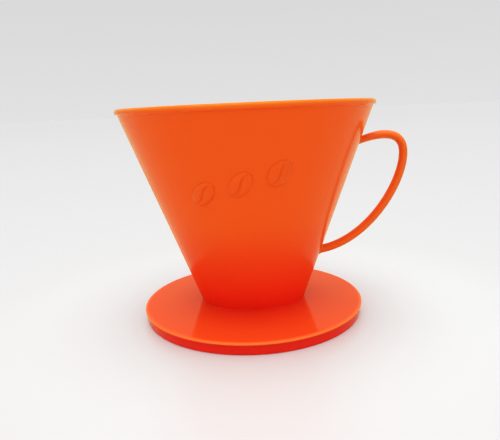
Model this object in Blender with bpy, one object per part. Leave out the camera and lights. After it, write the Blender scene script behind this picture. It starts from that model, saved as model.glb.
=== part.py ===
"""Pour-over coffee dripper: a round-mouthed plastic cone on a disc flange, with an ear handle.

The real dripper is one moulding. It is modelled as the walls, rings and ribs that the
moulding is made of, each one its own solid. Everything is built about the cone's vertical
axis, with z = 0 on the surface the dripper stands on, the front at -Y and the handle at +X.
"""

from math import cos, pi, radians, sin, sqrt

import bmesh
import bpy
from mathutils import Vector

MM = 0.001

# Driving sizes.
HEIGHT = 108.0 * MM
RIM_RADIUS = 64.0 * MM
LIP_HEIGHT = 2.8 * MM
WALL_TOP_RADIUS = 62.7 * MM          # outside of the wall, just under the lip
BASE_HALF_LENGTH = 27.3 * MM         # outside of the wall where it meets the flange, along X
BASE_HALF_WIDTH = 19.4 * MM          # the same, along Y
WALL = 2.3 * MM                      # wall thickness, measured level
FLANGE_RADIUS = 57.5 * MM
FLANGE_TOP = 6.2 * MM
FLANGE_THICKNESS = 1.5 * MM
FLANGE_EDGE_ROUND = 0.6 * MM
SKIRT_RADIUS = 56.5 * MM
SKIRT_THICKNESS = 2.0 * MM
GAP = 0.3 * MM                       # clearance between pieces that touch

# Floor of the cone, with its drain holes.
FLOOR_TOP = 4.3 * MM
FLOOR_THICKNESS = 1.6 * MM
FLOOR_INSET = 0.4 * MM
HOLE_RADIUS = 1.8 * MM
HOLE_PITCH = 11.0 * MM
SPOUT_RADIUS = 3.2 * MM
SPOUT_DROP = 1.5 * MM

# Ring under the flange that centres the dripper in a cup's mouth.
LOCATING_RADIUS = 36.0 * MM
LOCATING_THICKNESS = 1.8 * MM
LOCATING_BOTTOM = 1.0 * MM
CUP_SEAT_MARGIN = 0.5 * MM           # from either ring to the band that a cup's rim meets
CUP_SEAT_RISE = 0.15 * MM            # how far that band stands down from the rest of the underside

# Ribs that hold the paper filter off the inside of the wall.
RIB_COUNT = 12
RIB_FIRST_ANGLE = radians(15.0)
RIB_WIDTH = 2.2 * MM
RIB_HEIGHT = 1.3 * MM
RIB_BOTTOM = 9.0 * MM
RIB_TOP = 84.0 * MM
RIB_TAPER = 5.0 * MM

# Handle: an oval bar on two Bezier curves in the XZ plane, from the cone's axis.
HANDLE_BAR_DEPTH = 4.2 * MM          # across the bar, in the handle's plane
HANDLE_BAR_WIDTH = 6.5 * MM          # across the bar, along Y
HANDLE_TOP_ROOT = (56.0 * MM, 87.4 * MM)
HANDLE_TOP_RISE = radians(20.0)
HANDLE_TOP_PULL = 20.0 * MM
HANDLE_OUTERMOST = (78.6 * MM, 80.8 * MM)
HANDLE_PULL_ABOVE = 6.5 * MM
HANDLE_PULL_BELOW = 16.4 * MM
HANDLE_LOW_ROOT = (35.5 * MM, 31.6 * MM)
HANDLE_LOW_RISE = radians(7.5)
HANDLE_LOW_PULL = 25.0 * MM
HANDLE_TOP_THINNING = 0.2            # how much thinner the bar is at its top root
HANDLE_THINNING_LENGTH = 14.0 * MM

# Raised beans on the front of the wall.
EMBLEM_NAMES = ("emblem_bean_left", "emblem_bean_middle", "emblem_bean_right")
EMBLEM_CENTRE_HEIGHT = 74.5 * MM
EMBLEM_PITCH = 17.0 * MM
EMBLEM_CLIMB = radians(14.0)
BEAN_HALF_LENGTH = 6.6 * MM
BEAN_HALF_WIDTH = 4.4 * MM
BEAN_TILT = radians(50.0)
BEAN_EDGE = 0.25 * MM
BEAN_RISE = 0.75 * MM

# How finely round shapes are cut.
ROUND_SEGMENTS = 80
WALL_BANDS = 8
CORNER_STEPS = 3
BAR_SEGMENTS = 16
BAR_STEPS = 18
HOLE_SEGMENTS = 20

# The handle reaches further out than the rim, so the cone's axis is left of the part's centre.
CONE_AXIS_X = (RIM_RADIUS - HANDLE_OUTERMOST[0] - HANDLE_BAR_DEPTH / 2) / 2

# Underside of the flange: the band for the cup's rim, and the rest.
CUP_SEAT_HEIGHT = FLANGE_TOP - FLANGE_THICKNESS
FLANGE_UNDERSIDE = CUP_SEAT_HEIGHT + CUP_SEAT_RISE

SMOOTH_ANGLE = radians(35.0)


def clear_scene():
    for thing in list(bpy.data.objects):
        bpy.data.objects.remove(thing, do_unlink=True)


def gloss_plastic(name, colour, roughness):
    material = bpy.data.materials.new(name)
    material.use_nodes = True
    shader = material.node_tree.nodes["Principled BSDF"]
    shader.inputs["Base Color"].default_value = (*colour, 1.0)
    shader.inputs["Roughness"].default_value = roughness
    shader.inputs["Metallic"].default_value = 0.0
    return material


def add_object(name, mesh_builder, material, axis):
    """Turn a bmesh into a smooth-shaded object that hangs on the cone's axis."""
    mesh = bpy.data.meshes.new(name)
    bmesh.ops.recalc_face_normals(mesh_builder, faces=mesh_builder.faces)
    mesh_builder.to_mesh(mesh)
    mesh_builder.free()
    mesh.shade_smooth()
    mesh.set_sharp_from_angle(angle=SMOOTH_ANGLE)
    mesh.materials.append(material)
    thing = bpy.data.objects.new(name, mesh)
    bpy.context.scene.collection.objects.link(thing)
    thing.parent = axis
    return thing


# ---- Sections and lofts ----

def oval(half_x, half_y, height, segments=ROUND_SEGMENTS, centre_x=0.0):
    """Points of a level ellipse about the cone's axis, anticlockwise from +X."""
    angles = [2 * pi * step / segments for step in range(segments)]
    return [Vector((centre_x + half_x * cos(a), half_y * sin(a), height)) for a in angles]


def loft(sections, closed=False):
    """Bridge point loops into one solid: a ring if closed, otherwise with a cap at each end."""
    builder = bmesh.new()
    loops = [[builder.verts.new(point) for point in section] for section in sections]
    pairs = list(zip(loops, loops[1:]))
    if closed:
        pairs.append((loops[-1], loops[0]))
    for lower, upper in pairs:
        count = len(lower)
        for step in range(count):
            following = (step + 1) % count
            builder.faces.new((lower[step], lower[following], upper[following], upper[step]))
    if not closed:
        for loop in (loops[0], loops[-1]):
            builder.faces.new(loop)
    return builder


def round_corner(centre, radius, start, end):
    """Points (outward, up) of an arc from start to end, in radians."""
    turns = [start + (end - start) * step / CORNER_STEPS for step in range(CORNER_STEPS + 1)]
    return [(centre[0] + radius * cos(a), centre[1] + radius * sin(a)) for a in turns]


def turned_ring(profile):
    """A ring turned about the cone's axis from a closed (radius, height) outline."""
    return loft([oval(radius, radius, height) for radius, height in profile], closed=True)


# ---- The cone's wall: every level section is an ellipse, round at the top ----

LIP_UNDERSIDE = HEIGHT - LIP_HEIGHT


def wall_half_sizes(height):
    """Half length and half width of the wall's outside at a height."""
    share = (height - FLANGE_TOP) / (LIP_UNDERSIDE - FLANGE_TOP)
    half_length = BASE_HALF_LENGTH + share * (WALL_TOP_RADIUS - BASE_HALF_LENGTH)
    half_width = BASE_HALF_WIDTH + share * (WALL_TOP_RADIUS - BASE_HALF_WIDTH)
    return half_length, half_width


def wall_slopes():
    """How far the wall's half length and half width grow per unit of height."""
    rise = LIP_UNDERSIDE - FLANGE_TOP
    return (WALL_TOP_RADIUS - BASE_HALF_LENGTH) / rise, (WALL_TOP_RADIUS - BASE_HALF_WIDTH) / rise


def wall_normal(x, y, height, inset=0.0):
    """Outward unit normal of the wall, or of its inside when inset is the wall's thickness."""
    half_length, half_width = (half - inset for half in wall_half_sizes(height))
    slope_x, slope_y = wall_slopes()
    lean = x * x * slope_x / half_length ** 3 + y * y * slope_y / half_width ** 3
    return Vector((x / half_length ** 2, y / half_width ** 2, -lean)).normalized()


def front_of_wall(x, height, stand_off):
    """The point a given distance outside the front of the wall."""
    half_length, half_width = wall_half_sizes(height)
    y = -half_width * sqrt(1.0 - (x / half_length) ** 2)
    return Vector((x, y, height)) + stand_off * wall_normal(x, y, height)


def side_of_wall(y, height, stand_off):
    """The point at +X a given distance outside the wall, at a given y and height."""
    half_length, half_width = wall_half_sizes(height)
    x = half_length * sqrt(1.0 - (y / half_width) ** 2)
    return Vector((x, y, height)) + stand_off * wall_normal(x, y, height)


def build_cone_wall():
    bottom = FLOOR_TOP + GAP
    top = LIP_UNDERSIDE - GAP
    heights = [bottom + (top - bottom) * band / WALL_BANDS for band in range(WALL_BANDS + 1)]
    outside = []
    inside = []
    for height in heights:
        half_length, half_width = wall_half_sizes(height)
        outside.append(oval(half_length, half_width, height))
        inside.append(oval(half_length - WALL, half_width - WALL, height))
    return loft(outside + inside[::-1], closed=True)


# ---- Rings ----

def build_rim_lip():
    inner = WALL_TOP_RADIUS - WALL
    inner_round = 0.7 * MM
    outer_round = 1.1 * MM
    foot_round = 0.5 * MM
    profile = [(inner, LIP_UNDERSIDE)]
    profile += round_corner((inner + inner_round, HEIGHT - inner_round), inner_round, pi, pi / 2)
    profile += round_corner((RIM_RADIUS - outer_round, HEIGHT - outer_round), outer_round, pi / 2, 0.0)
    profile += round_corner((RIM_RADIUS - foot_round, LIP_UNDERSIDE + foot_round), foot_round, 0.0, -pi / 2)
    return turned_ring(profile)


def build_base_flange():
    edge = FLANGE_RADIUS - FLANGE_EDGE_ROUND
    seat_outer = SKIRT_RADIUS - SKIRT_THICKNESS - CUP_SEAT_MARGIN
    seat_inner = LOCATING_RADIUS + CUP_SEAT_MARGIN
    outline = round_corner((edge, FLANGE_TOP - FLANGE_EDGE_ROUND), FLANGE_EDGE_ROUND, pi / 2, 0.0)
    outline += round_corner((edge, FLANGE_UNDERSIDE + FLANGE_EDGE_ROUND), FLANGE_EDGE_ROUND, 0.0, -pi / 2)
    outline += [(seat_outer, FLANGE_UNDERSIDE), (seat_outer, CUP_SEAT_HEIGHT),
                (seat_inner, CUP_SEAT_HEIGHT), (seat_inner, FLANGE_UNDERSIDE)]
    sections = [oval(radius, radius, height) for radius, height in outline]
    for height in (FLANGE_UNDERSIDE, FLANGE_TOP):
        half_length, half_width = wall_half_sizes(height)
        sections.append(oval(half_length + GAP, half_width + GAP, height))
    return loft(sections, closed=True)


def build_flange_skirt():
    top = FLANGE_UNDERSIDE - GAP
    inner = SKIRT_RADIUS - SKIRT_THICKNESS
    foot_round = 0.4 * MM
    profile = [(inner, top), (SKIRT_RADIUS, top)]
    profile += round_corner((SKIRT_RADIUS - foot_round, foot_round), foot_round, 0.0, -pi / 2)
    profile += round_corner((inner + foot_round, foot_round), foot_round, -pi / 2, -pi)
    return turned_ring(profile)


def build_locating_ring():
    top = FLANGE_UNDERSIDE - GAP
    inner = LOCATING_RADIUS - LOCATING_THICKNESS
    edge_round = 0.5 * MM
    profile = [(inner, top), (LOCATING_RADIUS, top)]
    profile += round_corner((LOCATING_RADIUS - edge_round, LOCATING_BOTTOM + edge_round),
                            edge_round, 0.0, -pi / 2)
    profile.append((inner, LOCATING_BOTTOM))
    return turned_ring(profile)


# ---- Floor with drain holes ----

def build_floor_plate():
    half_length, half_width = (half - FLOOR_INSET for half in wall_half_sizes(FLOOR_TOP))
    underside = FLOOR_TOP - FLOOR_THICKNESS
    edge_round = 0.8 * MM
    sections = [oval(half_length, half_width, FLOOR_TOP)]
    for inset, height in round_corner((-edge_round, underside + edge_round), edge_round, 0.0, -pi / 2):
        sections.append(oval(half_length + inset, half_width + inset, height))
    return loft(sections)


def add_cutter(name, builder, axis):
    mesh = bpy.data.meshes.new(name)
    bmesh.ops.recalc_face_normals(builder, faces=builder.faces)
    builder.to_mesh(mesh)
    builder.free()
    cutter = bpy.data.objects.new(name, mesh)
    bpy.context.scene.collection.objects.link(cutter)
    cutter.parent = axis
    cutter.hide_render = True
    cutter.display_type = "WIRE"
    return cutter


def upright_cylinder(centre_x, radius, bottom, top):
    return loft([oval(radius, radius, height, HOLE_SEGMENTS, centre_x) for height in (bottom, top)])


def add_drain_floor(material, axis):
    """The plate that closes the cone, with a row of drain holes that end in short spouts."""
    floor = add_object("drain_floor", build_floor_plate(), material, axis)
    underside = FLOOR_TOP - FLOOR_THICKNESS
    for number, place in enumerate((-HOLE_PITCH, 0.0, HOLE_PITCH), start=1):
        spout = upright_cylinder(place, SPOUT_RADIUS, underside - SPOUT_DROP, underside + FLOOR_THICKNESS / 2)
        hole = upright_cylinder(place, HOLE_RADIUS, -HEIGHT / 10, FLOOR_TOP + HEIGHT / 10)
        for operation, builder in (("UNION", spout), ("DIFFERENCE", hole)):
            cut = floor.modifiers.new(f"{operation.lower()}_{number}", "BOOLEAN")
            cut.operation = operation
            cut.object = add_cutter(f"drain_{operation.lower()}_guide_{number}", builder, axis)
    return floor


# ---- Flow ribs ----

def build_flow_rib(angle):
    """A low half-round rib that follows one straight line down the inside of the wall."""
    span = RIB_TOP - RIB_BOTTOM
    heights = (RIB_BOTTOM, RIB_BOTTOM + RIB_TAPER, RIB_BOTTOM + span / 2, RIB_TOP - RIB_TAPER, RIB_TOP)
    rises = (0.3, 1.0, 1.0, 1.0, 0.3)
    side_steps = 6
    sections = []
    for height, rise in zip(heights, rises):
        half_length, half_width = (half - WALL for half in wall_half_sizes(height))
        foot = Vector((half_length * cos(angle), half_width * sin(angle), height))
        inward = -wall_normal(foot.x, foot.y, height, inset=WALL)
        along = Vector((-half_length * sin(angle), half_width * cos(angle), 0.0)).normalized()
        section = []
        for step in range(side_steps + 1):
            turn = pi * step / side_steps
            stand_off = GAP + 0.25 * rise * RIB_HEIGHT + 0.75 * rise * RIB_HEIGHT * sin(turn)
            section.append(foot + along * (RIB_WIDTH / 2 * cos(turn)) + inward * stand_off)
        for side in (-1.0, 1.0):
            section.append(foot + along * (side * RIB_WIDTH / 2) + inward * GAP)
        sections.append(section)
    return loft(sections)


# ---- Handle ----

def bezier(points, share):
    start, start_pull, end_pull, end = points
    rest = 1.0 - share
    return (rest ** 3 * start + 3 * rest ** 2 * share * start_pull
            + 3 * rest * share ** 2 * end_pull + share ** 3 * end)


def handle_path():
    """Centre line of the handle from its top root, over the crown and down to its low root."""
    top_root = Vector(HANDLE_TOP_ROOT)
    outermost = Vector(HANDLE_OUTERMOST)
    low_root = Vector(HANDLE_LOW_ROOT)
    crown = (top_root, top_root + HANDLE_TOP_PULL * Vector((cos(HANDLE_TOP_RISE), sin(HANDLE_TOP_RISE))),
             outermost + Vector((0.0, HANDLE_PULL_ABOVE)), outermost)
    sweep = (outermost, outermost - Vector((0.0, HANDLE_PULL_BELOW)),
             low_root + HANDLE_LOW_PULL * Vector((cos(HANDLE_LOW_RISE), sin(HANDLE_LOW_RISE))), low_root)
    shares = [step / BAR_STEPS for step in range(BAR_STEPS + 1)]
    return [bezier(crown, share) for share in shares] + [bezier(sweep, share) for share in shares[1:]]


def build_handle():
    path = handle_path()
    sections = []
    for number, centre in enumerate(path):
        before = path[max(number - 1, 0)]
        after = path[min(number + 1, len(path) - 1)]
        ahead = (after - before).normalized()
        across = Vector((ahead.y, -ahead.x))
        nearness = max(0.0, 1.0 - (centre - path[0]).length / HANDLE_THINNING_LENGTH)
        half_depth = HANDLE_BAR_DEPTH / 2 * (1.0 - HANDLE_TOP_THINNING * nearness)
        section = []
        for step in range(BAR_SEGMENTS):
            turn = 2 * pi * step / BAR_SEGMENTS
            point = centre + across * (half_depth * cos(turn))
            section.append(Vector((point.x, HANDLE_BAR_WIDTH / 2 * sin(turn), point.y)))
        sections.append(section)
    clear_of_wall = [section for section in sections
                     if all(point.x > side_of_wall(point.y, point.z, GAP).x for point in section)]
    for end in (0, -1):
        root = [side_of_wall(point.y, point.z, GAP) for point in sections[end]]
        clear_of_wall.insert(0 if end == 0 else len(clear_of_wall), root)
    return loft(clear_of_wall)


# ---- Emblem ----

def build_bean(centre_x, centre_height):
    """A low domed oval on the front of the wall, with its back following the wall."""
    ring_shares = (1.0, 0.85, 0.6, 0.3)
    segments = 20
    domes = []
    for share in ring_shares:
        rise = BEAN_EDGE + BEAN_RISE * sqrt(1.0 - share ** 2)
        domes.append(bean_loop(centre_x, centre_height, share, GAP + rise, segments))
    backs = [bean_loop(centre_x, centre_height, share, GAP, segments) for share in reversed(ring_shares)]
    return loft(backs + domes)


def bean_loop(centre_x, centre_height, share, stand_off, segments):
    points = []
    for step in range(segments):
        turn = 2 * pi * step / segments
        along = share * BEAN_HALF_LENGTH * cos(turn)
        across = share * BEAN_HALF_WIDTH * sin(turn)
        x = centre_x + along * cos(BEAN_TILT) - across * sin(BEAN_TILT)
        height = centre_height + along * sin(BEAN_TILT) + across * cos(BEAN_TILT)
        points.append(front_of_wall(x, height, stand_off))
    return points


# ---- Assembly ----

def main():
    clear_scene()
    axis = bpy.data.objects.new("cone_axis", None)
    axis.location = (CONE_AXIS_X, 0.0, 0.0)
    bpy.context.scene.collection.objects.link(axis)

    wall_plastic = gloss_plastic("wall_plastic", (0.89, 0.098, 0.014), 0.14)
    rim_plastic = gloss_plastic("rim_plastic", (0.92, 0.19, 0.035), 0.14)
    flange_plastic = gloss_plastic("flange_plastic", (0.87, 0.12, 0.035), 0.12)
    skirt_plastic = gloss_plastic("skirt_plastic", (0.67, 0.018, 0.009), 0.16)
    handle_plastic = gloss_plastic("handle_plastic", (0.87, 0.11, 0.025), 0.14)
    rib_plastic = gloss_plastic("rib_plastic", (0.80, 0.08, 0.014), 0.20)
    emblem_plastic = gloss_plastic("emblem_plastic", (0.89, 0.098, 0.014), 0.18)
    floor_plastic = gloss_plastic("floor_plastic", (0.75, 0.06, 0.012), 0.20)

    add_object("cone_wall", build_cone_wall(), wall_plastic, axis)
    add_object("rim_lip", build_rim_lip(), rim_plastic, axis)
    add_object("base_flange", build_base_flange(), flange_plastic, axis)
    add_object("flange_skirt", build_flange_skirt(), skirt_plastic, axis)
    add_object("locating_ring", build_locating_ring(), skirt_plastic, axis)
    add_drain_floor(floor_plastic, axis)
    add_object("handle", build_handle(), handle_plastic, axis)

    for number in range(RIB_COUNT):
        angle = RIB_FIRST_ANGLE + 2 * pi * number / RIB_COUNT
        add_object(f"flow_rib_{number + 1:02d}", build_flow_rib(angle), rib_plastic, axis)

    for number, name in enumerate(EMBLEM_NAMES):
        place = (number - 1) * EMBLEM_PITCH
        bean = build_bean(place * cos(EMBLEM_CLIMB), EMBLEM_CENTRE_HEIGHT + place * sin(EMBLEM_CLIMB))
        add_object(name, bean, emblem_plastic, axis)


main()
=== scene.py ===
"""Looks of the pour-over dripper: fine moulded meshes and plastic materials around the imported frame."""

from math import cos, exp, log10, pi, radians, sin, sqrt

import bmesh
import bpy
from mathutils import Matrix, Vector


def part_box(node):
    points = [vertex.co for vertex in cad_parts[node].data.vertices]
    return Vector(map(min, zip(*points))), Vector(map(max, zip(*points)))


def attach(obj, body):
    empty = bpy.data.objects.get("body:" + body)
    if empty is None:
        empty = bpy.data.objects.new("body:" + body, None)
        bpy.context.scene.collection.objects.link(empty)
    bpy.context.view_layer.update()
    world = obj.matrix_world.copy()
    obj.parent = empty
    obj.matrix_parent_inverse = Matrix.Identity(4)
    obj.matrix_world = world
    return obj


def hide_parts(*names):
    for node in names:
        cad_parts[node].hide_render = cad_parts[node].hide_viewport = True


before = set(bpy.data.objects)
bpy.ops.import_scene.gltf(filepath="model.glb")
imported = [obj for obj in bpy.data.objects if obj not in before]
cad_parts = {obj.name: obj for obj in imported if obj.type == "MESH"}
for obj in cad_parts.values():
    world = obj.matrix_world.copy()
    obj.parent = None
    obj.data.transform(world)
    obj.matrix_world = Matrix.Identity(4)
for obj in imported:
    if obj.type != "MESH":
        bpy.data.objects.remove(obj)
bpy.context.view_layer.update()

MM = 0.001
BODY = "root"

# ---- Sizes read from the frame -------------------------------------------------------------------

RIM_LOW, RIM_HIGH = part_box("rim_lip")
WALL_LOW, WALL_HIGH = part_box("cone_wall")
FLANGE_LOW, FLANGE_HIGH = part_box("base_flange")
SKIRT_LOW, SKIRT_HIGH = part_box("flange_skirt")
LOCATING_LOW, LOCATING_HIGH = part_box("locating_ring")
FLOOR_LOW, FLOOR_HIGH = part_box("drain_floor")
HANDLE_LOW, HANDLE_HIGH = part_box("handle")

AXIS_X = (RIM_LOW.x + RIM_HIGH.x) / 2
RIM_RADIUS = (RIM_HIGH.x - RIM_LOW.x) / 2
RIM_TOP = RIM_HIGH.z
LIP_UNDERSIDE = RIM_LOW.z
FLANGE_RADIUS = (FLANGE_HIGH.x - FLANGE_LOW.x) / 2
FLANGE_TOP = FLANGE_HIGH.z
CUP_SEAT_HEIGHT = FLANGE_LOW.z
SKIRT_RADIUS = (SKIRT_HIGH.x - SKIRT_LOW.x) / 2
LOCATING_RADIUS = (LOCATING_HIGH.x - LOCATING_LOW.x) / 2
FLOOR_TOP = FLOOR_HIGH.z

SAME_HEIGHT = 0.02 * MM              # points this near a height count as on it
SAME_LINE = 0.02                     # points this near X or Y, as a share of their reach, count as on it


def level_reach(node, height, pick=max):
    """Half length (X) and half width (Y), from the cone's axis, of a CAD node's points at a height."""
    reach = [(abs(v.co.x - AXIS_X), abs(v.co.y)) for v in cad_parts[node].data.vertices
             if abs(v.co.z - height) < SAME_HEIGHT]
    return (pick(x for x, y in reach if y < SAME_LINE * x), pick(y for x, y in reach if x < SAME_LINE * y))


WALL_FOOT = level_reach("cone_wall", WALL_LOW.z)
WALL_HEAD = level_reach("cone_wall", WALL_HIGH.z)
WALL = WALL_HEAD[0] - level_reach("cone_wall", WALL_HIGH.z, pick=min)[0]
SKIRT_THICKNESS = SKIRT_RADIUS - level_reach("flange_skirt", SKIRT_HIGH.z, pick=min)[0]
LOCATING_THICKNESS = LOCATING_RADIUS - level_reach("locating_ring", LOCATING_HIGH.z, pick=min)[0]

# ---- Sizes of the moulded detail -----------------------------------------------------------------

ROUND_SEGMENTS = 256
CORNER_STEPS = 6
SMOOTH_ANGLE = radians(38.0)
OVERLAP = 0.1 * MM                   # how far a piece goes on inside the piece that it meets

# Wall. Its top ends in a thin tongue that is hidden inside the lip.
WALL_BANDS = 24
WALL_SINK = 1.0 * MM                 # how far below the disc's top its outside widens to the fillet
WALL_FOOT_FILLET = 0.2 * MM
WALL_FOOT_STEPS = 8
LIP_FOOT_FILLET = 0.35 * MM
LIP_FOOT_STEPS = 4
FLOOR_FILLET = 0.8 * MM
FLOOR_FILLET_STEPS = 4
TONGUE_HEIGHT = 0.5 * MM
TONGUE_OUTER_INSET = 0.5 * MM
TONGUE_INNER_INSET = 0.3 * MM

# Disc.
FLANGE_UNDERSIDE = 4.85 * MM         # outside the band that a cup's rim meets
FLANGE_TUCK = 0.6 * MM               # how far the disc goes on inside the wall
FLANGE_EDGE_REACH = 1.3 * MM         # the top of the disc's edge is rounded wider than it is high
FLANGE_EDGE_DROP = 0.7 * MM
FLANGE_EDGE_STEPS = 12
CUP_SEAT = (36.5 * MM, 54.0 * MM)

# Drain floor.
FLOOR_UNDERSIDE = 2.7 * MM
FLOOR_SEGMENTS = 128
HOLE_RADIUS = 1.8 * MM
HOLE_PITCH = 11.0 * MM
HOLE_SEGMENTS = 40
SPOUT_RADIUS = 3.2 * MM
SPOUT_STEPS = 4

# Ribs.
RIB_COUNT = 12
RIB_FIRST_ANGLE = radians(15.0)
RIB_WIDTH = 2.2 * MM
RIB_HEIGHT = 1.6 * MM
RIB_TAPER = 6.0 * MM
RIB_END_HEIGHT = 0.12                # how high and how wide the ends are, as shares of the middle
RIB_END_WIDTH = 0.6
RIB_FLARE = 0.35 * MM                # how far each side runs out along the wall
RIB_FLARE_POWER = 5                  # the higher, the closer to its edge a side flares
RIB_END_POWER = 0.8                  # the lower, the blunter its ends rise
RIB_SIDE_POWER = 0.75                # the lower, the fuller its section
RIB_SINK = 0.05 * MM                 # how far its surface lies inside the wall, and its root
RIB_ROOT = 0.5 * MM
RIB_STEPS = 40
RIB_SIDE_STEPS = 14

# Handle: an oval bar on two Bezier curves in the XZ plane, x from the cone's axis.
BAR_DEPTH = 4.2 * MM
BAR_WIDTH = HANDLE_HIGH.y - HANDLE_LOW.y
BAR_TOP_ROOT = (56.0 * MM, 87.4 * MM)
BAR_TOP_RISE = radians(20.0)
BAR_TOP_PULL = 20.0 * MM
BAR_OUTERMOST = (78.6 * MM, 80.8 * MM)
BAR_PULL_ABOVE = 6.5 * MM
BAR_PULL_BELOW = 16.4 * MM
BAR_LOW_ROOT = (35.5 * MM, 31.6 * MM)
BAR_LOW_RISE = radians(7.5)
BAR_LOW_PULL = 25.0 * MM
BAR_THINNING = 0.2                   # how much thinner the bar is at its top root
BAR_THINNING_LENGTH = 14.0 * MM
BAR_MARGIN = 0.01 * MM               # keeps the bar inside the CAD's box
BAR_RUN_ON = 2.0 * MM                # how far its path goes on past each root
BAR_CURVE_STEPS = 60
BAR_SEGMENTS = 48
ROOT_FILLET = 0.9 * MM
ROOT_DEPTH = 1.0 * MM
PARTING_RIDGE = 0.06 * MM
RIDGE_HALF_ANGLE = radians(3.0)

# Beans on the front.
BEAN_HALF_LENGTH = 6.6 * MM
BEAN_HALF_WIDTH = 4.4 * MM
BEAN_TILT = radians(50.0)
BEAN_STAND_OFF = 1.3 * MM
BEAN_EDGE = 0.32 * MM
BEAN_DOME = 0.95 * MM
BEAN_SINK = 0.15 * MM
BEAN_CREASE_DEPTH = 0.55 * MM
BEAN_CREASE_WIDTH = 0.42 * MM
BEAN_CREASE_SWAY = 0.9 * MM
BEAN_RINGS = 22
BEAN_SEGMENTS = 72

# ---- The wall as a surface -----------------------------------------------------------------------


def wall_half_sizes(height):
    """Half length and half width of the wall's outside: every level section is an ellipse."""
    share = (height - WALL_LOW.z) / (WALL_HIGH.z - WALL_LOW.z)
    return tuple(foot + share * (head - foot) for foot, head in zip(WALL_FOOT, WALL_HEAD))


def inner_half_sizes(height):
    """The same for the wall's inside."""
    return tuple(half - WALL for half in wall_half_sizes(height))


def wall_normal(x, y, height, inset=0.0):
    """Outward unit normal of the wall, or of its inside when inset is the wall's thickness."""
    rise = WALL_HIGH.z - WALL_LOW.z
    slope_x, slope_y = ((head - foot) / rise for foot, head in zip(WALL_FOOT, WALL_HEAD))
    half_length, half_width = (half - inset for half in wall_half_sizes(height))
    lean = x * x * slope_x / half_length ** 3 + y * y * slope_y / half_width ** 3
    return Vector((x / half_length ** 2, y / half_width ** 2, -lean)).normalized()


def front_of_wall(x, height, stand_off):
    """The point a given distance outside the front of the wall; x is from the cone's axis."""
    half_length, half_width = wall_half_sizes(height)
    y = -half_width * sqrt(1.0 - (x / half_length) ** 2)
    return Vector((x, y, height)) + stand_off * wall_normal(x, y, height)


def clear_of_wall(point):
    """Distance from the outside of the wall at +X, along X; less than nothing inside it."""
    half_length, half_width = wall_half_sizes(point.z)
    return point.x - half_length * sqrt(1.0 - (point.y / half_width) ** 2)


# ---- Mesh helpers --------------------------------------------------------------------------------
# Every builder works about the cone's axis; add_piece moves the mesh to the axis's place.

def oval(half_x, half_y, height, segments=ROUND_SEGMENTS, centre_x=0.0):
    """Points of a level ellipse, anticlockwise from +X."""
    turns = [2 * pi * step / segments for step in range(segments)]
    return [Vector((centre_x + half_x * cos(turn), half_y * sin(turn), height)) for turn in turns]


def add_loop(mesh, points):
    return [mesh.verts.new(point) for point in points]


def bridge(mesh, low, high):
    """A band of faces between two loops of equally many vertices."""
    for step in range(len(low)):
        after = (step + 1) % len(low)
        mesh.faces.new((low[step], low[after], high[after], high[step]))


def loft(sections, closed=False):
    """A solid through loops of points: a ring if closed, otherwise with a cap at each end."""
    mesh = bmesh.new()
    loops = [add_loop(mesh, section) for section in sections]
    for low, high in zip(loops, loops[1:]):
        bridge(mesh, low, high)
    if closed:
        bridge(mesh, loops[-1], loops[0])
    else:
        mesh.faces.new(loops[0][::-1])
        mesh.faces.new(loops[-1])
    bmesh.ops.recalc_face_normals(mesh, faces=mesh.faces)
    return mesh


def corner(centre, radius, start, end, steps=CORNER_STEPS):
    """Points (radius, height) of a rounded corner, from one angle to another."""
    turns = [start + (end - start) * step / steps for step in range(steps + 1)]
    return [(centre[0] + radius * cos(turn), centre[1] + radius * sin(turn)) for turn in turns]


def turned(profile):
    """A ring made by turning a closed outline of (radius, height) round the axis."""
    return loft([oval(radius, radius, height) for radius, height in profile], closed=True)


def concave(distance, radius):
    """How far a fillet reaches out from a wall at a distance from the surface it runs into."""
    share = max(0.0, 1.0 - distance / radius)
    return radius * (1.0 - sqrt(max(0.0, 1.0 - share * share)))


def add_piece(name, mesh, material, slot, *nodes):
    """Turns the mesh into a piece that rides on the body and stands for the CAD nodes."""
    data = bpy.data.meshes.new(name)
    bmesh.ops.translate(mesh, verts=mesh.verts, vec=(AXIS_X, 0.0, 0.0))
    mesh.to_mesh(data)
    mesh.free()
    data.shade_smooth()
    data.set_sharp_from_angle(angle=SMOOTH_ANGLE)
    data.materials.append(material)
    piece = bpy.data.objects.new(name, data)
    bpy.context.scene.collection.objects.link(piece)
    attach(piece, BODY)
    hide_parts(*nodes)
    return piece


# ---- Cone ----------------------------------------------------------------------------------------

def wall_outside():
    """Sections up the outside: the hidden foot, its fillet, the straight side, the fillet at the lip."""
    foot_fillet = [FLANGE_TOP + WALL_FOOT_FILLET * (1.0 - cos(pi / 2 * step / WALL_FOOT_STEPS))
                   for step in range(WALL_FOOT_STEPS + 1)]
    rise = LIP_UNDERSIDE - LIP_FOOT_FILLET - foot_fillet[-1]
    side = [foot_fillet[-1] + rise * band / WALL_BANDS for band in range(1, WALL_BANDS + 1)]
    lip_fillet = [LIP_UNDERSIDE - LIP_FOOT_FILLET * (1.0 - sin(pi / 2 * step / LIP_FOOT_STEPS))
                  for step in range(1, LIP_FOOT_STEPS + 1)]
    sections = []
    for height in [FLOOR_TOP - OVERLAP, FLANGE_TOP - WALL_SINK] + foot_fillet + side + lip_fillet:
        half_length, half_width = wall_half_sizes(height)
        reach = concave(LIP_UNDERSIDE - height, LIP_FOOT_FILLET)
        if height >= FLANGE_TOP:
            reach += concave(height - FLANGE_TOP, WALL_FOOT_FILLET)
        sections.append(oval(half_length + reach, half_width + reach, height))
    return sections


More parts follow.
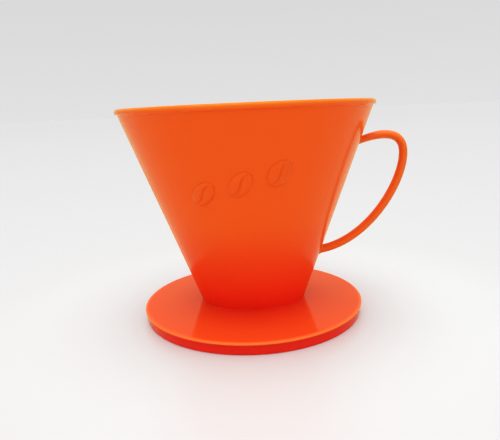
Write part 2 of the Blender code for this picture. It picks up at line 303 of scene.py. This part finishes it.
def wall_tongue():
    """The outer and inner edge of the tongue that is hidden inside the lip."""
    height = LIP_UNDERSIDE + TONGUE_HEIGHT
    outer = (half - TONGUE_OUTER_INSET for half in wall_half_sizes(LIP_UNDERSIDE))
    inner = (half + TONGUE_INNER_INSET for half in inner_half_sizes(LIP_UNDERSIDE))
    return [oval(*outer, height), oval(*inner, height)]


def wall_inside():
    """Sections down the inside: the straight side, then the fillet on to the drain floor."""
    sections = []
    for band in range(WALL_BANDS, 0, -1):
        height = FLOOR_TOP + (LIP_UNDERSIDE - FLOOR_TOP) * band / WALL_BANDS
        sections.append(oval(*inner_half_sizes(height), height))
    fillet = [FLOOR_TOP + FLOOR_FILLET * step / FLOOR_FILLET_STEPS
              for step in range(FLOOR_FILLET_STEPS, 0, -1)]
    for height in fillet + [FLOOR_TOP - OVERLAP]:
        reach = concave(max(0.0, height - FLOOR_TOP), FLOOR_FILLET)
        half_length, half_width = inner_half_sizes(height)
        sections.append(oval(half_length - reach, half_width - reach, height))
    return sections


def build_cone_shell():
    return loft(wall_outside() + wall_tongue() + wall_inside(), closed=True)


def build_rim_bead():
    """The lip, rounded most along its outer top edge."""
    inner = inner_half_sizes(LIP_UNDERSIDE)[0]
    inner_round, outer_round, foot_round = 0.7 * MM, 1.5 * MM, 0.8 * MM
    profile = [(inner, LIP_UNDERSIDE)]
    profile += corner((inner + inner_round, RIM_TOP - inner_round), inner_round, pi, pi / 2)
    profile += corner((RIM_RADIUS - outer_round, RIM_TOP - outer_round), outer_round, pi / 2, 0.0)
    profile += corner((RIM_RADIUS - foot_round, LIP_UNDERSIDE + foot_round), foot_round, 0.0, -pi / 2)
    return turned(profile)


def build_filter_rib(angle, bottom, top):
    """A half-round rib down the inside of the wall, feathered at both ends and rooted in the wall."""
    sections = []
    for number in range(RIB_STEPS + 1):
        height = bottom + (top - bottom) * number / RIB_STEPS
        from_end = min(height - bottom, top - height) / RIB_TAPER
        growth = sin(pi / 2 * min(1.0, from_end)) ** RIB_END_POWER
        rise = RIB_HEIGHT * (RIB_END_HEIGHT + (1.0 - RIB_END_HEIGHT) * growth)
        width = RIB_WIDTH * (RIB_END_WIDTH + (1.0 - RIB_END_WIDTH) * min(1.0, 2 * from_end))
        half_length, half_width = inner_half_sizes(height)
        foot = Vector((half_length * cos(angle), half_width * sin(angle), height))
        inward = -wall_normal(foot.x, foot.y, height, inset=WALL)
        along = Vector((-half_length * sin(angle), half_width * cos(angle), 0.0)).normalized()
        section = []
        for step in range(RIB_SIDE_STEPS + 1):
            across = 2.0 * step / RIB_SIDE_STEPS - 1.0
            flare = RIB_FLARE * across * abs(across) ** RIB_FLARE_POWER
            lift = rise * cos(pi / 2 * across) ** RIB_SIDE_POWER if abs(across) < 1 else 0.0
            section.append(foot + along * (across * width / 2 + flare) + inward * (lift - RIB_SINK))
        for side in (1.0, -1.0):
            section.append(foot + along * (side * width / 2) - inward * RIB_ROOT)
        sections.append(section)
    return loft(sections)


def bean_point(centre_x, centre_height, share, turn):
    """A point of a bean's skin: share is 0 in its middle and 1 at its edge, which is sunk in the wall."""
    along, across = share * cos(turn), share * sin(turn)
    off_crease = across * BEAN_HALF_WIDTH - BEAN_CREASE_SWAY * sin(pi * along)
    crease = BEAN_CREASE_DEPTH * exp(-(off_crease / BEAN_CREASE_WIDTH) ** 2) * max(0.0, 1.0 - along ** 4)
    edge = BEAN_EDGE * sqrt(max(0.0, 1.0 - share ** 8))
    dome = BEAN_DOME * sqrt(max(0.0, 1.0 - share ** 2))
    lengthways, sideways = along * BEAN_HALF_LENGTH, across * BEAN_HALF_WIDTH
    x = centre_x + lengthways * cos(BEAN_TILT) - sideways * sin(BEAN_TILT)
    height = centre_height + lengthways * sin(BEAN_TILT) + sideways * cos(BEAN_TILT)
    stand_off = min(BEAN_STAND_OFF, edge + dome - crease) if share < 1 else -BEAN_SINK
    return front_of_wall(x, height, stand_off)


def build_bean(centre_x, centre_height):
    """A low coffee bean on the front of the wall, with an S-shaped crease down its middle."""
    mesh = bmesh.new()
    loops = []
    turns = [2 * pi * step / BEAN_SEGMENTS for step in range(BEAN_SEGMENTS)]
    for number in range(BEAN_RINGS, 0, -1):
        share = sin(pi / 2 * number / BEAN_RINGS)
        loops.append(add_loop(mesh, [bean_point(centre_x, centre_height, share, turn) for turn in turns]))
    for low, high in zip(loops, loops[1:]):
        bridge(mesh, low, high)
    top = mesh.verts.new(bean_point(centre_x, centre_height, 0.0, 0.0))
    for step in range(BEAN_SEGMENTS):
        mesh.faces.new((loops[-1][step], loops[-1][(step + 1) % BEAN_SEGMENTS], top))
    mesh.faces.new(loops[0][::-1])
    bmesh.ops.recalc_face_normals(mesh, faces=mesh.faces)
    return mesh


# ---- Disc, skirt, ring and drain floor -----------------------------------------------------------

def build_flange_disc():
    """The disc, with the flat band under it that a cup's rim meets."""
    low_round = 0.5 * MM
    outline = []
    for step in range(FLANGE_EDGE_STEPS + 1):
        turn = pi / 2 * (1.0 - step / FLANGE_EDGE_STEPS)
        outline.append((FLANGE_RADIUS - FLANGE_EDGE_REACH * (1.0 - cos(turn)),
                        FLANGE_TOP - FLANGE_EDGE_DROP * (1.0 - sin(turn))))
    outline += corner((FLANGE_RADIUS - low_round, FLANGE_UNDERSIDE + low_round), low_round, 0.0, -pi / 2)
    outline += [(CUP_SEAT[1], FLANGE_UNDERSIDE), (CUP_SEAT[1], CUP_SEAT_HEIGHT),
                (CUP_SEAT[0], CUP_SEAT_HEIGHT), (CUP_SEAT[0], FLANGE_UNDERSIDE)]
    sections = [oval(radius, radius, height) for radius, height in outline]
    for height in (FLANGE_UNDERSIDE, FLANGE_TOP):
        half_length, half_width = (half - FLANGE_TUCK for half in wall_half_sizes(height))
        sections.append(oval(half_length, half_width, height))
    return loft(sections, closed=True)


def build_hanging_ring(outer, thickness, bottom, outer_round, inner_round):
    """A ring that hangs from the underside of the disc, with a rounded foot."""
    top = FLANGE_UNDERSIDE + OVERLAP
    inner = outer - thickness
    profile = [(inner, top), (outer, top)]
    profile += corner((outer - outer_round, bottom + outer_round), outer_round, 0.0, -pi / 2)
    profile += corner((inner + inner_round, bottom + inner_round), inner_round, -pi / 2, -pi)
    return turned(profile)


def build_skirt_ring():
    return build_hanging_ring(SKIRT_RADIUS, SKIRT_THICKNESS, SKIRT_LOW.z,
                              outer_round=0.4 * MM, inner_round=0.4 * MM)


def build_cup_ring():
    return build_hanging_ring(LOCATING_RADIUS, LOCATING_THICKNESS, LOCATING_LOW.z,
                              outer_round=0.5 * MM, inner_round=0.3 * MM)


def hole_profile():
    """Outline (radius, height) from a hole's worn lip down, round its spout's foot and up again."""
    lip_round, spout_round, root_fillet = 0.35 * MM, 0.3 * MM, 0.5 * MM
    foot = FLOOR_LOW.z + spout_round
    outline = corner((HOLE_RADIUS + lip_round, FLOOR_TOP - lip_round), lip_round, pi / 2, pi)
    outline += corner((HOLE_RADIUS + spout_round, foot), spout_round, pi, 3 * pi / 2, SPOUT_STEPS)
    outline += corner((SPOUT_RADIUS - spout_round, foot), spout_round, -pi / 2, 0.0, SPOUT_STEPS)
    outline += corner((SPOUT_RADIUS + root_fillet, FLOOR_UNDERSIDE - root_fillet), root_fillet, pi, pi / 2)
    return outline


def fill_between(mesh, loops):
    """Fills the flat space inside the first loop and outside the others."""
    edges = []
    for loop in loops:
        for step in range(len(loop)):
            pair = (loop[step], loop[(step + 1) % len(loop)])
            edges.append(mesh.edges.get(pair) or mesh.edges.new(pair))
    bmesh.ops.triangle_fill(mesh, edges=edges, use_beauty=True, use_dissolve=False)


def build_drain_floor():
    """The plate that closes the cone: rounded edge, and three holes that end in spouts."""
    half_length, half_width = ((high - low) / 2 for low, high in zip(FLOOR_LOW.xy, FLOOR_HIGH.xy))
    top_round, edge_round = 0.1 * MM, 0.6 * MM
    mesh = bmesh.new()
    side = corner((0.0, FLOOR_TOP - top_round), top_round, pi / 2, 0.0, 2)
    side += corner((top_round - edge_round, FLOOR_UNDERSIDE + edge_round), edge_round, 0.0, -pi / 2)
    walls = [[oval(half_length - top_round + reach, half_width - top_round + reach, height, FLOOR_SEGMENTS)
              for reach, height in side]]
    for place in (-HOLE_PITCH, 0.0, HOLE_PITCH):
        walls.append([oval(radius, radius, height, HOLE_SEGMENTS, place)
                      for radius, height in hole_profile()])
    tops, undersides = [], []
    for sections in walls:
        loops = [add_loop(mesh, section) for section in sections]
        for low, high in zip(loops, loops[1:]):
            bridge(mesh, low, high)
        tops.append(loops[0])
        undersides.append(loops[-1])
    fill_between(mesh, tops)
    fill_between(mesh, undersides)
    bmesh.ops.recalc_face_normals(mesh, faces=mesh.faces)
    return mesh


# ---- Handle --------------------------------------------------------------------------------------

def bezier(start, start_pull, end_pull, end, share):
    rest = 1.0 - share
    return (rest ** 3 * Vector(start) + 3 * rest ** 2 * share * Vector(start_pull)
            + 3 * rest * share ** 2 * Vector(end_pull) + share ** 3 * Vector(end))


def pulled(root, rise, pull):
    """The point that a root's curve sets off towards: outward and up from it."""
    return (root[0] + pull * cos(rise), root[1] + pull * sin(rise))


def bar_path():
    """Points (x, height) of the bar's middle, from the top root round to the low root."""
    x, height = BAR_OUTERMOST
    above, below = (x, height + BAR_PULL_ABOVE), (x, height - BAR_PULL_BELOW)
    top_pull = pulled(BAR_TOP_ROOT, BAR_TOP_RISE, BAR_TOP_PULL)
    low_pull = pulled(BAR_LOW_ROOT, BAR_LOW_RISE, BAR_LOW_PULL)
    shares = [step / BAR_CURVE_STEPS for step in range(BAR_CURVE_STEPS + 1)]
    crown = [bezier(BAR_TOP_ROOT, top_pull, above, BAR_OUTERMOST, share) for share in shares]
    sweep = [bezier(BAR_OUTERMOST, below, low_pull, BAR_LOW_ROOT, share) for share in shares[1:]]
    path = crown + sweep
    before = path[0] + (path[0] - path[1]).normalized() * BAR_RUN_ON
    after = path[-1] + (path[-1] - path[-2]).normalized() * BAR_RUN_ON
    return [before] + path + [after]


def bar_turns():
    """Angles round the bar: even ones, and four more at each of the two parting ridges."""
    even = {2 * pi * step / BAR_SEGMENTS for step in range(BAR_SEGMENTS)}
    ridges = {(side * pi + offset * RIDGE_HALF_ANGLE) % (2 * pi)
              for side in (0, 1) for offset in (-2, -1, 1, 2)}
    return sorted(even | ridges)


def bar_section(centre, ahead, half_depth, turns):
    """The bar's oval about a point of its path, with the ridges, and flared where it meets the wall."""
    across = Vector((ahead.y, -ahead.x))
    section = []
    for turn in turns:
        off_ridge = abs((turn + pi / 2) % pi - pi / 2)
        ridge = PARTING_RIDGE if off_ridge < 1.5 * RIDGE_HALF_ANGLE else 0.0
        middle = centre + across * ((half_depth + ridge) * cos(turn))
        rim = Vector((middle.x, (BAR_WIDTH / 2 - BAR_MARGIN) * sin(turn), middle.y))
        outward = (rim - Vector((centre.x, 0.0, centre.y))).normalized()
        section.append(rim + concave(max(0.0, clear_of_wall(rim)), ROOT_FILLET) * outward)
    return section


def press_out(point):
    """The point, moved out along X if it would be deeper in the wall than the roots go."""
    return point + Vector((max(0.0, -ROOT_DEPTH - clear_of_wall(point)), 0.0, 0.0))


def build_handle_bar():
    """The oval bar of the handle, with filleted roots and the faint ridge where the mould halves met."""
    path = bar_path()
    turns = bar_turns()
    sections = []
    for number, centre in enumerate(path):
        before, after = path[max(number - 1, 0)], path[min(number + 1, len(path) - 1)]
        nearness = max(0.0, 1.0 - (centre - path[0]).length / BAR_THINNING_LENGTH)
        half_depth = BAR_DEPTH / 2 * (1.0 - BAR_THINNING * nearness) - PARTING_RIDGE - BAR_MARGIN
        section = bar_section(centre, (after - before).normalized(), half_depth, turns)
        if max(clear_of_wall(point) for point in section) > -ROOT_DEPTH:
            sections.append([press_out(point) for point in section])
    return loft(sections)


# ---- Material helpers ----------------------------------------------------------------------------

def new_material(name):
    material = bpy.data.materials.new(name)
    material.use_nodes = True
    tree = material.node_tree
    return material, tree, tree.nodes["Principled BSDF"]


def add_node(tree, kind, **settings):
    """A new node; each setting is one of its sockets or, failing that, one of its options."""
    node = tree.nodes.new(kind)
    for key, value in settings.items():
        if key in node.inputs.keys():
            node.inputs[key].default_value = value
        else:
            setattr(node, key, value)
    return node


def object_place(tree):
    return tree.nodes.new("ShaderNodeTexCoord").outputs["Object"]


def noise(tree, place, scale, detail=2.0, **more):
    """Noise with about that many features to the metre."""
    node = add_node(tree, "ShaderNodeTexNoise", Scale=scale, Detail=detail, **more)
    tree.links.new(place, node.inputs["Vector"])
    return node.outputs["Fac"]


def bump(tree, height, relief, normal=None, **more):
    """A bumped normal; the relief is its strength and its height in metres."""
    node = add_node(tree, "ShaderNodeBump", Strength=relief[0], Distance=relief[1], **more)
    tree.links.new(height, node.inputs["Height"])
    if normal:
        tree.links.new(normal, node.inputs["Normal"])
    return node.outputs["Normal"]


def mix_colours(tree, factor, first, second):
    """From the first colour to the second, each a socket or (red, green, blue)."""
    mix = tree.nodes.new("ShaderNodeMix")
    mix.data_type = "RGBA"
    tree.links.new(factor, mix.inputs["Factor"])
    colour_inputs = [socket for socket in mix.inputs if socket.type == "RGBA"]
    for socket, colour in zip(colour_inputs, (first, second)):
        if isinstance(colour, tuple):
            socket.default_value = (*colour, 1.0)
        else:
            tree.links.new(colour, socket)
    return next(socket for socket in mix.outputs if socket.type == "RGBA")


def remap(tree, value, source, target=(0.0, 1.0)):
    """The value carried from the source range over to the target range, and held to its ends."""
    node = add_node(tree, "ShaderNodeMapRange", **{"From Min": source[0], "From Max": source[1],
                                                   "To Min": target[0], "To Max": target[1]})
    tree.links.new(value, node.inputs["Value"])
    return node.outputs["Result"]


def distance_from(tree, place, centre=(0.0, 0.0)):
    """Level distance of a place from a point (x, y)."""
    flatten = add_node(tree, "ShaderNodeMapping", Location=(-centre[0], -centre[1], 0.0),
                       Scale=(1.0, 1.0, 0.0))
    tree.links.new(place, flatten.inputs["Vector"])
    away = add_node(tree, "ShaderNodeVectorMath", operation="LENGTH")
    tree.links.new(flatten.outputs["Vector"], away.inputs[0])
    return away.outputs["Value"]


def height_share(tree, place, low, high):
    """0 at the low height, 1 at the high one."""
    split = tree.nodes.new("ShaderNodeSeparateXYZ")
    tree.links.new(place, split.inputs[0])
    return remap(tree, split.outputs["Z"], (low, high))


def radius_share(tree, place, near, far):
    """0 at the near distance from the cone's axis, 1 at the far one."""
    return remap(tree, distance_from(tree, place, (AXIS_X, 0.0)), (near, far))


def fill_ramp(ramp, stops):
    """Gives a new colour ramp its stops, each (position, colour), in order. It comes with two."""
    for number, (position, colour) in enumerate(stops):
        stop = ramp.elements[number] if number < 2 else ramp.elements.new(position)
        stop.position = position
        stop.color = (*colour, 1.0)


# ---- Moulded plastic -----------------------------------------------------------------------------

PLASTIC_IOR = 1.33
GLOSS_TINT = (1.0, 0.62, 0.050)
SKIN_SHARE = 0.350                   # a coat with no reflection of its own, which tints at grazing angles
SKIN_IOR = 1.0
SKIN_TINT = (1.0, 1.0, 0.620)
SCATTER = 0.1
SCATTER_DEPTH = 1.0 * MM
SCATTER_RADIUS = (1.0, 0.22, 0.08)   # light goes furthest through the plastic in red
BASE_SCATTER = 0.300                 # the skirt and the ring glow more
BASE_SCATTER_DEPTH = 6.0 * MM

# Each noise has features to the metre, and the range of its values that is used.
FLOW_SCALE, FLOW_RANGE = 22.0, (0.35, 0.65)
GRAIN_SCALE, GRAIN_RANGE = 900.0, (0.4, 0.7)
SMUDGE_SCALE, SMUDGE_RANGE = 38.0, (0.45, 0.75)
HAIRLINE_SCALE, HAIRLINE_RANGE = 160.0, (0.68, 0.74)
PEEL_SCALE = 420.0
WORN_POINTINESS = (0.56, 0.68)

# Strength and height of each relief.
PEEL_RELIEF = (0.10, 0.02 * MM)
HAIRLINE_RELIEF = (0.08, 0.01 * MM)

DARKER = 0.93
LIGHTER = (1.03, 1.12, 1.2)
GRAIN_SHARE = 0.35
WORN_SHARE = 0.3
WORN_FADE = 0.9
WORN_LIFT = 0.05
SMUDGE_ROUGHNESS = (0.85, 1.5)       # times the plastic's own roughness
HAIRLINE_ROUGHNESS = 0.10
HAIRLINE_TURN = (0.4, 0.9, 0.3)
HAIRLINE_STRETCH = (1.0, 14.0, 1.0)


def plastic_colour(tree, place, colour, shifts):
    """Colour flow, fine grain and worn edges, turned to another colour where each shift says; the shifts
    paint shade and highlights.
    """
    darker = tuple(channel * DARKER for channel in colour)
    lighter = tuple(min(1.0, channel * gain) for channel, gain in zip(colour, LIGHTER))
    worn = tuple(min(1.0, WORN_FADE * channel + WORN_LIFT) for channel in lighter)
    flow_share = remap(tree, noise(tree, place, FLOW_SCALE, 3.0), FLOW_RANGE)
    flow = mix_colours(tree, flow_share, darker, colour)
    grain_share = remap(tree, noise(tree, place, GRAIN_SCALE), GRAIN_RANGE, (0.0, GRAIN_SHARE))
    grain = mix_colours(tree, grain_share, flow, lighter)
    pointed = tree.nodes.new("ShaderNodeNewGeometry").outputs["Pointiness"]
    base = mix_colours(tree, remap(tree, pointed, WORN_POINTINESS, (0.0, WORN_SHARE)), grain, worn)
    for share, start, end, other in shifts:
        base = mix_colours(tree, share(tree, place, start, end), base, other)
    return base


def hairline_scratches(tree, place):
    """1 along fine slanting lines, 0 between them."""
    stretch = add_node(tree, "ShaderNodeMapping", Rotation=HAIRLINE_TURN, Scale=HAIRLINE_STRETCH)
    tree.links.new(place, stretch.inputs["Vector"])
    return remap(tree, noise(tree, stretch.outputs["Vector"], HAIRLINE_SCALE, 4.0), HAIRLINE_RANGE)


def plastic_roughness(tree, place, hairlines, roughness):
    """Smudged gloss, duller along the scratches."""
    smudged = tuple(roughness * factor for factor in SMUDGE_ROUGHNESS)
    smudges = remap(tree, noise(tree, place, SMUDGE_SCALE, 5.0, Roughness=0.6), SMUDGE_RANGE, smudged)
    scratched = add_node(tree, "ShaderNodeMath", operation="MULTIPLY_ADD")
    tree.links.new(hairlines, scratched.inputs[0])
    scratched.inputs[1].default_value = HAIRLINE_ROUGHNESS
    tree.links.new(smudges, scratched.inputs[2])
    return scratched.outputs[0]


def plastic_relief(tree, place, hairlines):
    """The slight peel of a moulded surface, with the scratches cut into it."""
    peel = bump(tree, noise(tree, place, PEEL_SCALE), PEEL_RELIEF)
    return bump(tree, hairlines, HAIRLINE_RELIEF, peel, invert=True)


def moulded_plastic(name, colour, roughness, scatter=SCATTER, scatter_depth=SCATTER_DEPTH, shifts=()):
    """Glossy injection-moulded plastic. Each shift is (share function, start, end, colour)."""
    material, tree, shader = new_material(name)
    place = object_place(tree)
    hairlines = hairline_scratches(tree, place)
    tree.links.new(plastic_colour(tree, place, colour, shifts), shader.inputs["Base Color"])
    tree.links.new(plastic_roughness(tree, place, hairlines, roughness), shader.inputs["Roughness"])
    tree.links.new(plastic_relief(tree, place, hairlines), shader.inputs["Normal"])
    shader.inputs["IOR"].default_value = PLASTIC_IOR
    shader.inputs["Specular Tint"].default_value = (*GLOSS_TINT, 1.0)
    shader.inputs["Coat Weight"].default_value = SKIN_SHARE
    shader.inputs["Coat IOR"].default_value = SKIN_IOR
    shader.inputs["Coat Tint"].default_value = (*SKIN_TINT, 1.0)
    shader.inputs["Subsurface Weight"].default_value = scatter
    shader.inputs["Subsurface Radius"].default_value = SCATTER_RADIUS
    shader.inputs["Subsurface Scale"].default_value = scatter_depth
    return material


# ---- The dripper's plastics ----------------------------------------------------------------------

ORANGE = (0.95, 0.143, 0.034)
# Painted shade: the wall and its ribs deepen from the orange to this red towards the foot of the cone.
WALL_FOOT_SHADE = (0.95, 0.055, 0.034)
WALL_FOOT_RISE = 47.0 * MM           # how far above the disc the wall's painted shade reaches
# Painted highlight: the lip's upper half turns golden for the top light on it.
LIP_HIGHLIGHT_COLOUR = (0.78, 0.205, 0.034)
LIP_HIGHLIGHT_SPAN = (0.6 * MM, 0.8 * MM)  # the painted highlight fades in from this above the lip's foot to full at this below its top
# Painted shade: the disc is a darker copy of the orange, under the cone's mouth. Near the cone's foot it is
# deeper red still, as painted shade and painted reflection of the red cone.
DISC_MIDDLE_SHADE = (0.81, 0.055, 0.034)
DISC_SHADE_COLOUR = (0.81, 0.100, 0.034)
DISC_SHADE_SPAN = (18.0 * MM, 44.0 * MM)  # distances from the axis over which the painted shade of the disc's middle clears
# Painted highlight along the disc's thin rounded edge.
DISC_EDGE_HIGHLIGHT = (0.95, 0.205, 0.068)
DISC_EDGE_WIDTH = 1.8 * MM
# Painted shade: the skirt and the cup ring under the disc are a deep red copy of the orange.
SKIRT_SHADE_COLOUR = (0.95, 0.036, 0.034)
# Painted light: the handle is a more golden copy of the orange, for the top light on the bar.
HANDLE_LIT_COLOUR = (0.88, 0.180, 0.048)
# Painted shade: the drain plate at the bottom of the cone is a deep red copy of the orange.
DRAIN_SHADE_COLOUR = (0.95, 0.062, 0.034)


def cone_plastic(name, roughness):
    """Orange that deepens to red towards the foot of the cone, as painted shade."""
    shade_clearing = (height_share, FLANGE_TOP, FLANGE_TOP + WALL_FOOT_RISE, ORANGE)
    return moulded_plastic(name, WALL_FOOT_SHADE, roughness, shifts=(shade_clearing,))


def rim_plastic():
    """Orange that turns golden in the upper half of the lip: a painted highlight for the top light on it."""
    low, high = LIP_UNDERSIDE + LIP_HIGHLIGHT_SPAN[0], RIM_TOP - LIP_HIGHLIGHT_SPAN[1]
    return moulded_plastic("rim_plastic_look", ORANGE, roughness=0.12,
                           shifts=((height_share, low, high, LIP_HIGHLIGHT_COLOUR),))


def flange_plastic():
    """A darker copy of the orange as painted shade, deeper towards the middle as painted shade and
    reflection, and lighter along its thin edge as a painted highlight.
    """
    shade_clearing = (radius_share, *DISC_SHADE_SPAN, DISC_SHADE_COLOUR)
    edge_highlight = (radius_share, FLANGE_RADIUS - DISC_EDGE_WIDTH, FLANGE_RADIUS, DISC_EDGE_HIGHLIGHT)
    return moulded_plastic("flange_plastic_look", DISC_MIDDLE_SHADE, roughness=0.10,
                           shifts=(shade_clearing, edge_highlight))


def skirt_plastic():
    """Deep red, as painted shade under the disc, with the plastic's scatter set deeper."""
    return moulded_plastic("skirt_plastic_look", SKIRT_SHADE_COLOUR, roughness=0.14,
                           scatter=BASE_SCATTER, scatter_depth=BASE_SCATTER_DEPTH)


# ---- Studio --------------------------------------------------------------------------------------

# Distance from the origin in metres, red, and green and blue alike. The floor is painted lighter near the
# dripper and darker far off: a painted pool of light. There is less red near the dripper, to keep the floor
# neutral under the orange light that is thrown on to it.
STUDIO_LIGHT_POOL = ((0.08, 0.648, 0.705), (0.16, 0.562, 0.558), (1.0, 0.536, 0.534), (6.0, 0.472, 0.472))
STUDIO_RADIUS = 30.0
STUDIO_SEGMENTS = 96
STUDIO_SHINE = 0.85
STUDIO_ROUGHNESS = (0.35, 0.43)
FIBRE_SCALE, FIBRE_RANGE = 260.0, (0.3, 0.7)
FIBRE_RELIEF = (0.04, 0.03 * MM)

# The world's grey at heights from eye level, 0, to straight up, 1.
WORLD_SHADES = ((0.0, 0.77), (0.18, 0.715), (0.27, 0.715), (0.6, 0.994))

# Both lights are on the front's side. Elevations above the floor and spreads are in degrees.
TOP_STRENGTH = 1.89
TOP_ELEVATION = 89.0
TOP_SPREAD = 57.2
FRONT_STRENGTH = 0.324
FRONT_ELEVATION = 20.0
FRONT_SPREAD = 90.0


def floor_light_pool(tree, place):
    """The floor's colour by the logarithm of the distance, blended smoothly from stop to stop: a painted
    pool of light round the dripper.
    """
    log_distance = add_node(tree, "ShaderNodeMath", operation="LOGARITHM")
    tree.links.new(distance_from(tree, place), log_distance.inputs[0])
    log_distance.inputs[1].default_value = 10.0
    near, far = log10(STUDIO_LIGHT_POOL[0][0]), log10(STUDIO_LIGHT_POOL[-1][0])
    tone = tree.nodes.new("ShaderNodeValToRGB")
    tone.color_ramp.interpolation = "B_SPLINE"
    fill_ramp(tone.color_ramp, [((log10(distance) - near) / (far - near), (red, rest, rest))
                                for distance, red, rest in STUDIO_LIGHT_POOL])
    tree.links.new(remap(tree, log_distance.outputs[0], (near, far)), tone.inputs["Fac"])
    return tone.outputs["Color"]


def studio_floor():
    """Matt white paper-like sheet with the slight sheen that takes a soft reflection."""
    material, tree, shader = new_material("floor_white")
    place = object_place(tree)
    fibres = noise(tree, place, FIBRE_SCALE, 4.0)
    tree.links.new(floor_light_pool(tree, place), shader.inputs["Base Color"])
    tree.links.new(remap(tree, fibres, FIBRE_RANGE, STUDIO_ROUGHNESS), shader.inputs["Roughness"])
    tree.links.new(bump(tree, fibres, FIBRE_RELIEF), shader.inputs["Normal"])
    shader.inputs["Specular IOR Level"].default_value = STUDIO_SHINE
    return material


def add_floor():
    mesh = bmesh.new()
    bmesh.ops.create_circle(mesh, cap_ends=True, radius=STUDIO_RADIUS, segments=STUDIO_SEGMENTS)
    data = bpy.data.meshes.new("studio_floor")
    mesh.to_mesh(data)
    mesh.free()
    data.materials.append(studio_floor())
    floor = bpy.data.objects.new("studio_floor", data)
    bpy.context.scene.collection.objects.link(floor)


def light_world():
    """Pale all round at eye level, turning brighter overhead."""
    world = bpy.data.worlds.new("studio")
    bpy.context.scene.world = world
    world.use_nodes = True
    tree = world.node_tree
    split = tree.nodes.new("ShaderNodeSeparateXYZ")
    tree.links.new(tree.nodes.new("ShaderNodeTexCoord").outputs["Generated"], split.inputs["Vector"])
    ramp = tree.nodes.new("ShaderNodeValToRGB")
    fill_ramp(ramp.color_ramp, [(position, (level, level, level)) for position, level in WORLD_SHADES])
    tree.links.new(split.outputs["Z"], ramp.inputs["Fac"])
    tree.links.new(ramp.outputs["Color"], tree.nodes["Background"].inputs["Color"])


def add_sun(name, elevation, spread, strength):
    """A distant soft light from the front."""
    data = bpy.data.lights.new(name, "SUN")
    data.angle = radians(spread)
    data.energy = strength
    lamp = bpy.data.objects.new(name, data)
    rise = radians(elevation)
    toward = Vector((0.0, -cos(rise), sin(rise)))
    lamp.rotation_euler = toward.to_track_quat("Z", "Y").to_euler()
    bpy.context.scene.collection.objects.link(lamp)


# ---- Camera --------------------------------------------------------------------------------------

CAMERA_AZIMUTH = radians(4.0)
CAMERA_DISTANCE = 0.2612
CAMERA_HEIGHT = 0.10494
CAMERA_PITCH = radians(12.21)
CAMERA_AIM = radians(-0.01)          # how far it is turned from straight at the cone's axis
CAMERA_ROLL = radians(-2.54)
LENS = 36.5544
SENSOR_WIDTH = 36.0

CURVE_STEEPNESS = 1.32
CURVE_SHOULDER = 3.37
CURVE_LEVELS = (0.004, 0.012, 0.03, 0.07, 0.15, 0.3, 0.5, 0.75)


def add_camera():
    data = bpy.data.cameras.new("camera")
    data.sensor_width = SENSOR_WIDTH
    data.sensor_fit = "HORIZONTAL"
    data.lens = LENS
    data.clip_start = 1.0 * MM
    camera = bpy.data.objects.new("camera", data)
    heading = CAMERA_AZIMUTH + CAMERA_AIM
    ahead = Vector((-sin(heading) * cos(CAMERA_PITCH), cos(heading) * cos(CAMERA_PITCH), -sin(CAMERA_PITCH)))
    level = ahead.cross(Vector((0.0, 0.0, 1.0))).normalized()
    upright = level.cross(ahead)
    right = level * cos(CAMERA_ROLL) + upright * sin(CAMERA_ROLL)
    up = upright * cos(CAMERA_ROLL) - level * sin(CAMERA_ROLL)
    pose = Matrix((right, up, -ahead)).transposed().to_4x4()
    pose.translation = Vector((AXIS_X + CAMERA_DISTANCE * sin(CAMERA_AZIMUTH),
                               -CAMERA_DISTANCE * cos(CAMERA_AZIMUTH), CAMERA_HEIGHT))
    camera.matrix_world = pose
    bpy.context.scene.collection.objects.link(camera)
    bpy.context.scene.camera = camera


def set_contrast():
    """A camera's gentle contrast curve, the same on every channel: deeper shades, rounded highlights."""
    settings = bpy.context.scene.view_settings
    settings.view_transform = "Standard"
    settings.use_curve_mapping = True
    all_channels = settings.curve_mapping.curves[3]
    for level in CURVE_LEVELS:
        power = level ** CURVE_STEEPNESS
        all_channels.points.new(level, (1.0 + CURVE_SHOULDER) * power / (power + CURVE_SHOULDER))
    settings.curve_mapping.update()


# ---- Assembly ------------------------------------------------------------------------------------

def set_studio():
    set_contrast()
    light_world()
    add_floor()
    add_camera()
    add_sun("top_light", TOP_ELEVATION, TOP_SPREAD, TOP_STRENGTH)
    add_sun("front_light", FRONT_ELEVATION, FRONT_SPREAD, FRONT_STRENGTH)


def add_ribs():
    plastic = cone_plastic("rib_plastic_look", roughness=0.18)
    for number in range(RIB_COUNT):
        node = f"flow_rib_{number + 1:02d}"
        low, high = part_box(node)
        angle = RIB_FIRST_ANGLE + 2 * pi * number / RIB_COUNT
        add_piece(f"filter_rib_{number + 1:02d}", build_filter_rib(angle, low.z, high.z), plastic,
                  "rib_plastic", node)


def add_beans():
    plastic = moulded_plastic("emblem_plastic_look", ORANGE, roughness=0.14)
    for side in ("left", "middle", "right"):
        node = f"emblem_bean_{side}"
        low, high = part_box(node)
        centre = (low + high) / 2
        add_piece(f"bean_{side}", build_bean(centre.x - AXIS_X, centre.z), plastic, "emblem_plastic", node)


def add_dripper():
    wall = cone_plastic("wall_plastic_look", roughness=0.20)
    skirt = skirt_plastic()
    drain = moulded_plastic("floor_plastic_look", DRAIN_SHADE_COLOUR, roughness=0.18)
    handle = moulded_plastic("handle_plastic_look", HANDLE_LIT_COLOUR, roughness=0.12)
    add_piece("cone_shell", build_cone_shell(), wall, "wall_plastic", "cone_wall")
    add_piece("rim_bead", build_rim_bead(), rim_plastic(), "rim_plastic", "rim_lip")
    add_piece("flange_disc", build_flange_disc(), flange_plastic(), "flange_plastic", "base_flange")
    add_piece("skirt_ring", build_skirt_ring(), skirt, "skirt_plastic", "flange_skirt")
    add_piece("cup_ring", build_cup_ring(), skirt, "skirt_plastic", "locating_ring")
    add_piece("drain_plate", build_drain_floor(), drain, "floor_plastic", "drain_floor")
    add_piece("handle_bar", build_handle_bar(), handle, "handle_plastic", "handle")
    add_ribs()
    add_beans()


set_studio()
add_dripper()
